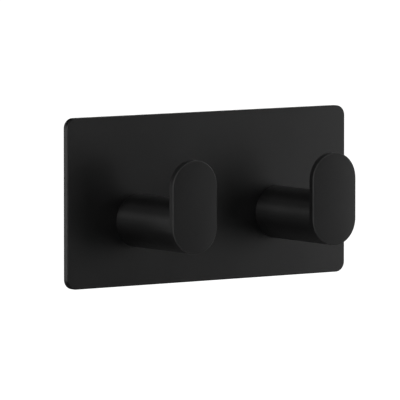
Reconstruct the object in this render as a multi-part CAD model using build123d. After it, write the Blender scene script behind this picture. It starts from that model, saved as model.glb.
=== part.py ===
from build123d import *
import math
import os

# Double robe hook for a bathroom wall. A thin rectangular plate is held on the wall by an
# adhesive pad and carries two round posts. Each post ends in an upright oblong end plate.
# Millimetres. X runs along the plate and +Z is up. The wall is the plane Y = 0, and the
# hook stands out from it towards -Y. A depth below is a distance out from the wall.

# Wall plate
PLATE_WIDTH = 100.0
PLATE_HEIGHT = 50.0
PLATE_THICKNESS = 2.0
PLATE_CORNER_RADIUS = 3.0
PLATE_EASING = 0.3

# Adhesive pad, kept inside the plate's outline so that none of it shows from the front
PAD_THICKNESS = 1.0
PAD_INSET = 1.5

# Posts, which stand on the plate as far apart as the two hooks are
HOOK_SPACING = 50.0
POST_DIAMETER = 15.6
POST_REACH = 27.0

# End plates, as wide as the posts are thick, so that the lower round end lies flush on the post.
# Their front is crowned across its width: its middle stands further out than its long sides,
# by the crown, and the thickness is that of the middle.
END_PLATE_HEIGHT = 27.2
END_PLATE_THICKNESS = 2.2
END_PLATE_CROWN = 0.4
END_PLATE_CHAMFER = 0.2

# Spigot turned on the front of each post, which locates its end plate
SPIGOT_DIAMETER = 8.0
SPIGOT_LENGTH = 0.8
SPIGOT_SIDE_CLEARANCE = 0.05
SPIGOT_END_CLEARANCE = 0.2

# Countersunk screw that draws each post against the plate from behind
SCREW_DIAMETER = 4.0
SCREW_LENGTH = 10.0
SCREW_TIP_CHAMFER = 0.5
SCREW_HEAD_DIAMETER = 7.5
SCREW_HEAD_RIM = 0.2
SCREW_HEAD_ANGLE = 90.0
SCREW_HEAD_SINK = 0.1
DRIVE_SPAN = 4.0
DRIVE_WIDTH = 1.1
DRIVE_DEPTH = 1.3

# Holes for the screw: clear through the plate, tapped in the post
PLATE_HOLE_CLEARANCE = 0.25
THREAD_CLEARANCE = 0.05
TAP_LEAD_IN = 0.5
TAP_RUN_OUT = 2.0
DRILL_POINT_ANGLE = 118.0

# Radii
post_radius = POST_DIAMETER / 2
spigot_radius = SPIGOT_DIAMETER / 2
screw_radius = SCREW_DIAMETER / 2
head_radius = SCREW_HEAD_DIAMETER / 2
plate_hole_radius = screw_radius + PLATE_HOLE_CLEARANCE
tapped_radius = screw_radius + THREAD_CLEARANCE
crown_radius = (post_radius**2 + END_PLATE_CROWN**2) / (2 * END_PLATE_CROWN)

# Depths, from the wall outwards
plate_back = PAD_THICKNESS
plate_front = plate_back + PLATE_THICKNESS
end_plate_back = plate_front + POST_REACH
end_plate_front = end_plate_back + END_PLATE_THICKNESS
screw_back = plate_back + SCREW_HEAD_SINK
screw_tip = screw_back + SCREW_LENGTH

# The end plates are centred on the wall plate's height, and each post shares the centre
# of its end plate's lower round end
post_height = (POST_DIAMETER - END_PLATE_HEIGHT) / 2
hook_places = {"left": -HOOK_SPACING / 2, "right": HOOK_SPACING / 2}


def head_cone_depth(radius):
    """Depth at which the screw head's cone, or the countersink that it seats in, has this radius."""
    slope = math.tan(math.radians(SCREW_HEAD_ANGLE / 2))
    return screw_back + SCREW_HEAD_RIM + (head_radius - radius) / slope


def head_cone_radius(depth):
    """Radius of the same cone at this depth."""
    slope = math.tan(math.radians(SCREW_HEAD_ANGLE / 2))
    return head_radius - (depth - screw_back - SCREW_HEAD_RIM) * slope


def sheet(outline, depth, thickness):
    """Flat piece with this outline, from this depth outwards."""
    return extrude(Plane.XZ.offset(depth) * outline, thickness)


def turned(profile):
    """Round piece on the axis of depth, from the corners of half its section as (radius, depth)."""
    half_section = make_face(Polyline(*profile, close=True))
    return Rot(0, 0, 180) * revolve(half_section, Axis.Y)


def on_hook(piece, place):
    """The piece moved onto the axis of the hook at this place along the plate."""
    return Pos(place, 0, post_height) * piece


def front_edges(piece):
    """Edges round the front face of the piece."""
    return piece.faces().sort_by(Axis.Y)[0].edges()


def plate_outline():
    return RectangleRounded(PLATE_WIDTH, PLATE_HEIGHT, PLATE_CORNER_RADIUS)


def make_adhesive_pad():
    """Foam pad, the plate's outline drawn in all round."""
    return sheet(offset(plate_outline(), -PAD_INSET), 0, PAD_THICKNESS)


def make_wall_plate():
    """Plate with its front edge eased, and a countersunk hole in its back behind each post."""
    plate = sheet(plate_outline(), plate_back, PLATE_THICKNESS)
    plate = fillet(front_edges(plate), PLATE_EASING)
    countersink = turned([
        (0, plate_back),
        (head_cone_radius(plate_back), plate_back),
        (plate_hole_radius, head_cone_depth(plate_hole_radius)),
        (plate_hole_radius, end_plate_back),
        (0, end_plate_back),
    ])
    for place in hook_places.values():
        plate -= on_hook(countersink, place)
    return plate


def make_post():
    """Turned post with a spigot on its front, and a drilled and tapped hole in its back."""
    drill_bottom = screw_tip + TAP_RUN_OUT
    drill_point = drill_bottom + tapped_radius / math.tan(math.radians(DRILL_POINT_ANGLE / 2))
    mouth_radius = max(tapped_radius + TAP_LEAD_IN, head_cone_radius(plate_front) + THREAD_CLEARANCE)
    return turned([
        (mouth_radius, plate_front),
        (post_radius, plate_front),
        (post_radius, end_plate_back),
        (spigot_radius, end_plate_back),
        (spigot_radius, end_plate_back + SPIGOT_LENGTH),
        (0, end_plate_back + SPIGOT_LENGTH),
        (0, drill_point),
        (tapped_radius, drill_bottom),
        (tapped_radius, plate_front + mouth_radius - tapped_radius),
    ])


def make_end_plate():
    """Upright oblong plate with a crowned front, chamfered round its edge, and a recessed back."""
    outline = Pos(0, -post_height) * SlotOverall(END_PLATE_HEIGHT, POST_DIAMETER, rotation=90)
    crown = Pos(0, crown_radius - end_plate_front) * Cylinder(crown_radius, 3 * END_PLATE_HEIGHT)
    plate = sheet(outline, end_plate_back, END_PLATE_THICKNESS) & crown
    plate = chamfer(front_edges(plate), END_PLATE_CHAMFER)
    recess = Circle(spigot_radius + SPIGOT_SIDE_CLEARANCE)
    return plate - sheet(recess, end_plate_back, SPIGOT_LENGTH + SPIGOT_END_CLEARANCE)


def make_post_screw():
    """Countersunk screw with a plain shank at its thread's outer diameter, and a cross drive."""
    screw = turned([
        (0, screw_back),
        (head_radius, screw_back),
        (head_radius, screw_back + SCREW_HEAD_RIM),
        (screw_radius, head_cone_depth(screw_radius)),
        (screw_radius, screw_tip - SCREW_TIP_CHAMFER),
        (screw_radius - SCREW_TIP_CHAMFER, screw_tip),
        (0, screw_tip),
    ])
    drive = Rectangle(DRIVE_SPAN, DRIVE_WIDTH) + Rectangle(DRIVE_WIDTH, DRIVE_SPAN)
    return screw - sheet(drive, screw_back, DRIVE_DEPTH)


pieces = {
    "adhesive_pad": make_adhesive_pad(),
    "wall_plate": make_wall_plate(),
}
for side, place in hook_places.items():
    pieces[f"{side}_post"] = on_hook(make_post(), place)
    pieces[f"{side}_end_plate"] = on_hook(make_end_plate(), place)
    pieces[f"{side}_post_screw"] = on_hook(make_post_screw(), place)

os.makedirs("parts", exist_ok=True)
for name, piece in pieces.items():
    export_step(piece, f"parts/{name}.step")
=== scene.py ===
import math

import bmesh
import bpy
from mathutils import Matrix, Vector


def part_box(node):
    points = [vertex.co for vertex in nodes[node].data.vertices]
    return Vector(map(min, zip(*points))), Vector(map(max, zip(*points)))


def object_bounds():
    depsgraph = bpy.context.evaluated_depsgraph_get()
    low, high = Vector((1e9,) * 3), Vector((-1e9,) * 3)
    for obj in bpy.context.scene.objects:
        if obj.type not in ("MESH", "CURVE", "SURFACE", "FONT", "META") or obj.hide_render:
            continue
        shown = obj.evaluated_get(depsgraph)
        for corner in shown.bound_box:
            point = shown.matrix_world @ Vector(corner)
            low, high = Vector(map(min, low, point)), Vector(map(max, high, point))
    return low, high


# Double robe hook in satin black, seen from the left and slightly above, in front of plain white.
# Metres. X runs along the wall plate, +Z is up, and the posts stand out from the wall towards -Y.
# Directions are seen from the object, in degrees: azimuth from -Y towards +X, and elevation.

MICRON = 1e-6
WHITE = (1.0, 1.0, 1.0, 1.0)
NOISE_RANGE = (0.3, 0.7)

# Camera, given by the photograph's frame of 400 x 400 pixels
FRAME_PIXELS = 400
SENSOR_WIDTH_MM = 36.0
CAMERA_AZIMUTH = -35.18
CAMERA_ELEVATION = 4.91
CAMERA_DISTANCE = 1.795
CAMERA_CLIP_END = 50.0
PIXELS_PER_METRE = 3388.0
PLATE_CENTRE_PIXEL = (204.38, 195.83)

# Black coating: the colours that its tone drifts between, its roughness on each piece, and how far
# that roughness drifts
COAT_COLOURS = ((0.0022, 0.0022, 0.0023), (0.0038, 0.0038, 0.0040))
PLATE_ROUGHNESS = 0.40
END_PLATE_ROUGHNESS = 0.50
POST_ROUGHNESS = 0.50
ROUGHNESS_DRIFT = 0.02
ORANGE_PEEL_SCALE = 2600.0

# Painted highlight on the end plates' chamfers: a greyer colour that stands in for the light lines
# along their edges, with a little added roughness. The chamfers are found by their normal's Y
CHAMFER_HIGHLIGHT_COLOUR = (0.014, 0.014, 0.014, 1.0)
CHAMFER_ADDED_ROUGHNESS = 0.08
CHAMFER_NORMAL_Y = -0.7
CHAMFER_NORMAL_MARGIN = 0.2

# Turned rings on the posts, which stretch the gloss along the post, a quarter turn from the rings
POST_ANISOTROPY = 0.8
QUARTER_TURN = 0.25
RING_STRETCH = (40.0, 4000.0, 40.0)
RING_SHARE = 0.5

# Floor, well below the hook. Its lift to white grows from nothing at the first distance from the hook
# to all of it at the second, so that the floor under the hook keeps the shadow.
FLOOR_DROP = 0.12
FLOOR_SIZE = 8.0
FLOOR_COLOUR = 0.8
FLOOR_COLOUR_DRIFT = 0.01
FLOOR_LIFT = 0.5
FLOOR_LIFT_RANGE = (0.25, 0.65)

# Black cards round the hook. They end at this share of the way down to the floor. The openings left
# in them are (from, to) azimuth and (from, to) elevation.
CARD_DISTANCE = 1.1
CARD_FLOOR_SHARE = 0.9
CARD_STEP = 5
CARD_AZIMUTHS = range(-120, 240, CARD_STEP)
CARD_ELEVATIONS = range(-90, 90, CARD_STEP)
OPENINGS = ((80, 140, -20, 30), (140, 190, -20, 15), (205, 230, -15, 15))
WELD_DISTANCE = 1e-5

# Light: the sky's level, and soft boxes as (azimuth, elevation, distance, width, height, radiance)
SKY_LEVEL = 0.75
SOFT_BOXES = {
    "left_box": (-86.0, 21.0, 0.75, 0.31, 0.26, 3.8),
    "upper_left_box": (-95.0, 50.0, 0.75, 0.13, 0.20, 3.0),
    "front_left_box": (-46.0, 0.0, 0.75, 0.32, 0.32, 3.5),
    "front_right_box": (22.0, 7.0, 0.75, 0.18, 0.26, 1.2),
    "near_front_box": (30.0, 0.0, 0.30, 0.08, 0.11, 0.45),
    "near_right_box": (64.0, -4.0, 0.20, 0.07, 0.18, 2.1),
    "upper_right_box": (45.0, 60.0, 0.50, 0.20, 0.20, 2.0),
    "bottom_box": (0.0, -80.0, 0.10, 0.10, 0.10, 0.12),
}

# The back is lit by a box of its own, which stays out of the gloss
BACK_BOX = (180.0, 20.0, 0.75, 0.50, 0.50, 1.4)

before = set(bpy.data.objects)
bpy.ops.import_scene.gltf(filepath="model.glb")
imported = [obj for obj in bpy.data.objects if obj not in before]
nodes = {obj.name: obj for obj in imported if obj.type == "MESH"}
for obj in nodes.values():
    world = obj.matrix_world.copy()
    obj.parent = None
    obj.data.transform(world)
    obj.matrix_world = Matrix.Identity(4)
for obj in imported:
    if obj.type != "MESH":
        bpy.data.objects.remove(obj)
cad_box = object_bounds()
scene = bpy.context.scene
scene.view_settings.view_transform = "Standard"


class Material:
    """A node material built up line by line, with its texture places in the frame's metres."""

    def __init__(self, name):
        self.material = bpy.data.materials.new(name)
        self.material.use_nodes = True
        self.tree = self.material.node_tree
        self.surface = self.tree.nodes["Principled BSDF"]
        self.place = self.node("ShaderNodeTexCoord").outputs["Object"]

    def node(self, kind, **settings):
        made = self.tree.nodes.new(kind)
        for key, value in settings.items():
            setattr(made, key, value)
        return made

    def link(self, source, target):
        self.tree.links.new(source, target)

    def fixed(self, **values):
        """Sockets that are the same all over, such as Metallic."""
        for key, value in values.items():
            self.surface.inputs[key.replace("_", " ")].default_value = value

    def noise(self, scale, detail=2.0, place=None):
        made = self.node("ShaderNodeTexNoise")
        self.link(place or self.place, made.inputs["Vector"])
        made.inputs["Scale"].default_value = scale
        made.inputs["Detail"].default_value = detail
        return made.outputs["Fac"]

    def stretched(self, scale):
        """The place, scaled on its own along each axis."""
        made = self.node("ShaderNodeMapping")
        self.link(self.place, made.inputs["Vector"])
        made.inputs["Scale"].default_value = scale
        return made.outputs["Vector"]

    def spread(self, source, low, high):
        """A noise, with its usual range stretched to run from low to high."""
        made = self.node("ShaderNodeMapRange")
        self.link(source, made.inputs["Value"])
        made.inputs["From Min"].default_value = NOISE_RANGE[0]
        made.inputs["From Max"].default_value = NOISE_RANGE[1]
        made.inputs["To Min"].default_value = low
        made.inputs["To Max"].default_value = high
        return made.outputs["Result"]

    def colour_between(self, source, low, high):
        made = self.node("ShaderNodeMix", data_type="RGBA")
        self.link(self.spread(source, 0.0, 1.0), made.inputs["Factor"])
        made.inputs["A"].default_value = (*low, 1.0)
        made.inputs["B"].default_value = (*high, 1.0)
        self.link(made.outputs["Result"], self.surface.inputs["Base Color"])

    def roughness_between(self, source, low, high):
        self.link(self.spread(source, low, high), self.surface.inputs["Roughness"])

    def sum(self, first, second, share):
        """First plus a share of second."""
        made = self.node("ShaderNodeMath", operation="MULTIPLY_ADD")
        self.link(second, made.inputs[0])
        made.inputs[1].default_value = share
        self.link(first, made.inputs[2])
        return made.outputs["Value"]

    def on_chamfers(self):
        """One where the surface leans about halfway between front and side, and zero elsewhere."""
        apart = self.node("ShaderNodeSeparateXYZ")
        self.link(self.node("ShaderNodeNewGeometry").outputs["Normal"], apart.inputs[0])
        halfway = self.node("ShaderNodeMath", operation="COMPARE")
        self.link(apart.outputs["Y"], halfway.inputs[0])
        halfway.inputs[1].default_value = CHAMFER_NORMAL_Y
        halfway.inputs[2].default_value = CHAMFER_NORMAL_MARGIN
        return halfway.outputs["Value"]

    def bump(self, height, distance):
        made = self.node("ShaderNodeBump")
        made.inputs["Distance"].default_value = distance
        self.link(height, made.inputs["Height"])
        self.link(made.outputs["Normal"], self.surface.inputs["Normal"])


def coating(name, roughness):
    """Black coating whose tone and sheen drift a little, still without its relief."""
    coat = Material(name)
    coat.colour_between(coat.noise(scale=90.0), *COAT_COLOURS)
    sheen = coat.noise(scale=600.0, detail=4.0)
    coat.roughness_between(sheen, roughness - ROUGHNESS_DRIFT, roughness + ROUGHNESS_DRIFT)
    return coat


def black_coat(name, roughness):
    """Satin black coating with a faint orange peel."""
    coat = coating(name, roughness)
    coat.bump(coat.noise(ORANGE_PEEL_SCALE), distance=1.0 * MICRON)
    return coat


def edged_coat(name, roughness):
    """The same coating with a painted highlight on the chamfers, which are greyer, and a little
    duller there.
    """
    coat = black_coat(name, roughness)
    chamfers = coat.on_chamfers()
    colour = coat.surface.inputs["Base Color"]
    # Painted highlight: the chamfers take a greyer colour that stands in for light along the edges
    painted_highlight = coat.node("ShaderNodeMix", data_type="RGBA")
    coat.link(chamfers, painted_highlight.inputs["Factor"])
    coat.link(colour.links[0].from_socket, painted_highlight.inputs["A"])
    painted_highlight.inputs["B"].default_value = CHAMFER_HIGHLIGHT_COLOUR
    coat.link(painted_highlight.outputs["Result"], colour)
    satin = coat.surface.inputs["Roughness"]
    duller = coat.sum(satin.links[0].from_socket, chamfers, CHAMFER_ADDED_ROUGHNESS)
    coat.link(duller, satin)
    return coat


def turned_coat(name, roughness):
    """The same coating on a turned post, whose fine rings spread its gloss along the post."""
    coat = coating(name, roughness)
    coat.fixed(Anisotropic=POST_ANISOTROPY, Anisotropic_Rotation=QUARTER_TURN)
    around = coat.node("ShaderNodeTangent", direction_type="RADIAL", axis="Y")
    coat.link(around.outputs["Tangent"], coat.surface.inputs["Tangent"])
    rings = coat.noise(scale=1.0, detail=3.0, place=coat.stretched(RING_STRETCH))
    relief = coat.sum(coat.noise(ORANGE_PEEL_SCALE), rings, RING_SHARE)
    coat.bump(relief, distance=0.8 * MICRON)
    return coat


def foam(name):
    """Grey closed-cell foam under an adhesive skin."""
    made = Material(name)
    tone = made.noise(scale=1500.0, detail=4.0)
    made.colour_between(tone, low=(0.052, 0.052, 0.054), high=(0.066, 0.066, 0.069))
    cells = made.node("ShaderNodeTexVoronoi", feature="F1")
    made.link(made.place, cells.inputs["Vector"])
    cells.inputs["Scale"].default_value = 3200.0
    made.roughness_between(made.noise(scale=500.0, detail=3.0), low=0.55, high=0.75)
    made.bump(cells.outputs["Distance"], distance=60.0 * MICRON)
    return made


def screw_steel(name):
    """Zinc-plated steel, slightly cloudy and uneven."""
    steel = Material(name)
    clouds = steel.noise(scale=400.0, detail=3.0)
    steel.colour_between(clouds, low=(0.50, 0.50, 0.49), high=(0.62, 0.62, 0.60))
    steel.fixed(Metallic=1.0)
    steel.roughness_between(steel.noise(scale=900.0, detail=3.0), low=0.24, high=0.36)
    steel.bump(steel.noise(scale=1800.0, detail=3.0), distance=4.0 * MICRON)
    return steel


def set_material(material, *names):
    for name in names:
        for slot in nodes[name].material_slots:
            slot.material = material.material


def direction(azimuth, elevation):
    """Unit vector from the object towards an azimuth and elevation in degrees."""
    az = math.radians(azimuth)
    el = math.radians(elevation)
    return Vector((math.sin(az) * math.cos(el), -math.cos(az) * math.cos(el), math.sin(el)))


def make_camera():
    """The photograph's camera, placed so that the wall plate's centre falls on its pixel."""
    to_camera = direction(CAMERA_AZIMUTH, CAMERA_ELEVATION)
    right = Vector((-to_camera.y, to_camera.x, 0.0)).normalized()
    up = to_camera.cross(right)
    plate_back = Vector((0.0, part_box("wall_plate")[1].y, 0.0))
    across = (PLATE_CENTRE_PIXEL[0] - FRAME_PIXELS / 2) / PIXELS_PER_METRE
    down = (PLATE_CENTRE_PIXEL[1] - FRAME_PIXELS / 2) / PIXELS_PER_METRE
    data = bpy.data.cameras.new("camera")
    data.sensor_width = SENSOR_WIDTH_MM
    data.lens = SENSOR_WIDTH_MM * PIXELS_PER_METRE * CAMERA_DISTANCE / FRAME_PIXELS
    data.clip_end = CAMERA_CLIP_END
    camera = bpy.data.objects.new("camera", data)
    camera.location = plate_back - right * across + up * down + to_camera * CAMERA_DISTANCE
    camera.rotation_euler = (-to_camera).to_track_quat("-Z", "Y").to_euler()
    scene.collection.objects.link(camera)
    scene.camera = camera


def seen_directly(tree):
    """One for rays from the camera, off gloss or through glass, and zero for light on a surface."""
    path = tree.nodes.new("ShaderNodeLightPath")
    seen = path.outputs["Is Camera Ray"]
    for kind in ("Is Glossy Ray", "Is Transmission Ray"):
        either = tree.nodes.new("ShaderNodeMath")
        either.operation = "MAXIMUM"
        tree.links.new(seen, either.inputs[0])
        tree.links.new(path.outputs[kind], either.inputs[1])
        seen = either.outputs["Value"]
    return seen


def floor_white():
    """The floor's plain pale surface, lifted to white where it is seen away from the hook."""
    white = Material("white_floor")
    darkest = (FLOOR_COLOUR,) * 3
    lightest = (FLOOR_COLOUR + FLOOR_COLOUR_DRIFT,) * 3
    white.colour_between(white.noise(scale=3.0), darkest, lightest)
    white.fixed(Roughness=0.9, Specular_IOR_Level=0.0, Emission_Color=WHITE)
    seen = seen_directly(white.tree)
    distance = white.node("ShaderNodeVectorMath", operation="LENGTH")
    white.link(white.place, distance.inputs[0])
    lift = white.node("ShaderNodeMapRange", interpolation_type="SMOOTHSTEP")
    white.link(distance.outputs["Value"], lift.inputs["Value"])
    lift.inputs["From Min"].default_value = FLOOR_LIFT_RANGE[0]
    lift.inputs["From Max"].default_value = FLOOR_LIFT_RANGE[1]
    lift.inputs["To Max"].default_value = FLOOR_LIFT
    strength = white.node("ShaderNodeMath", operation="MULTIPLY")
    white.link(seen, strength.inputs[0])
    white.link(lift.outputs["Result"], strength.inputs[1])
    white.link(strength.outputs["Value"], white.surface.inputs["Emission Strength"])
    return white


def make_floor():
    """A square floor below the hook, which keeps its shadow."""
    height = cad_box[0][2] - FLOOR_DROP
    half = FLOOR_SIZE / 2
    corners = [(x * half, y * half, height) for x, y in ((-1, -1), (1, -1), (1, 1), (-1, 1))]
    mesh = bpy.data.meshes.new("floor")
    mesh.from_pydata(corners, [], [(0, 1, 2, 3)])
    floor = bpy.data.objects.new("floor", mesh)
    scene.collection.objects.link(floor)
    mesh.materials.append(floor_white().material)


def make_sky():
    """White where it is seen, and dimmer as a light."""
    world = bpy.data.worlds.new("studio")
    scene.world = world
    world.use_nodes = True
    tree = world.node_tree
    sky = tree.nodes["Background"]
    sky.inputs["Color"].default_value = WHITE
    level = tree.nodes.new("ShaderNodeMapRange")
    level.inputs["To Min"].default_value = SKY_LEVEL
    level.inputs["To Max"].default_value = 1.0
    tree.links.new(seen_directly(tree), level.inputs["Value"])
    tree.links.new(level.outputs["Result"], sky.inputs["Strength"])


def in_opening(azimuth, elevation):
    return any(left <= azimuth < right and low <= elevation < high
               for left, right, low, high in OPENINGS)


def make_cards():
    """Black cards all round the hook, seen only in its gloss, with openings towards the white."""
    reach_down = CARD_FLOOR_SHARE * (FLOOR_DROP - cad_box[0][2])
    mesh = bpy.data.meshes.new("cards")
    grid = bmesh.new()
    for azimuth in CARD_AZIMUTHS:
        for elevation in CARD_ELEVATIONS:
            if in_opening(azimuth, elevation):
                continue
            corners = []
            for across, up in ((0, 0), (1, 0), (1, 1), (0, 1)):
                away = direction(azimuth + across * CARD_STEP, elevation + up * CARD_STEP)
                reach = CARD_DISTANCE
                if away.z < 0:
                    reach = min(reach, reach_down / -away.z)
                corners.append(grid.verts.new(away * reach))
            grid.faces.new(corners)
    bmesh.ops.remove_doubles(grid, verts=grid.verts, dist=WELD_DISTANCE)
    grid.to_mesh(mesh)
    grid.free()
    cards = bpy.data.objects.new("cards", mesh)
    scene.collection.objects.link(cards)
    cloth = Material("black_card")
    cloth.colour_between(cloth.noise(scale=40.0), low=(0.05,) * 3, high=(0.06,) * 3)
    cloth.fixed(Roughness=1.0, Specular_IOR_Level=0.0)
    mesh.materials.append(cloth.material)
    cards.visible_camera = False
    cards.visible_diffuse = False
    cards.visible_transmission = False
    cards.visible_shadow = False


def make_soft_box(name, azimuth, elevation, distance, width, height, radiance):
    """Lamp of an even radiance that faces the object and isn't seen by the camera."""
    data = bpy.data.lights.new(name, "AREA")
    data.shape = "RECTANGLE"
    data.size = width
    data.size_y = height
    data.energy = radiance * math.pi * width * height
    lamp = bpy.data.objects.new(name, data)
    away = direction(azimuth, elevation)
    lamp.location = away * distance
    lamp.rotation_euler = away.to_track_quat("Z", "Y").to_euler()
    lamp.visible_camera = False
    scene.collection.objects.link(lamp)
    return lamp


make_camera()
plate_coat = black_coat("black_plate_coat", PLATE_ROUGHNESS)
end_plate_coat = edged_coat("black_end_plate_coat", END_PLATE_ROUGHNESS)
post_coat = turned_coat("black_post_coat", POST_ROUGHNESS)
set_material(plate_coat, "wall_plate")
set_material(end_plate_coat, "left_end_plate", "right_end_plate")
set_material(post_coat, "left_post", "right_post")
set_material(foam("foam_adhesive_pad"), "adhesive_pad")
set_material(screw_steel("zinc_plated_steel"), "left_post_screw", "right_post_screw")
make_floor()
make_sky()
make_cards()
for name, values in SOFT_BOXES.items():
    make_soft_box(name, *values)
make_soft_box("back_box", *BACK_BOX).visible_glossy = False
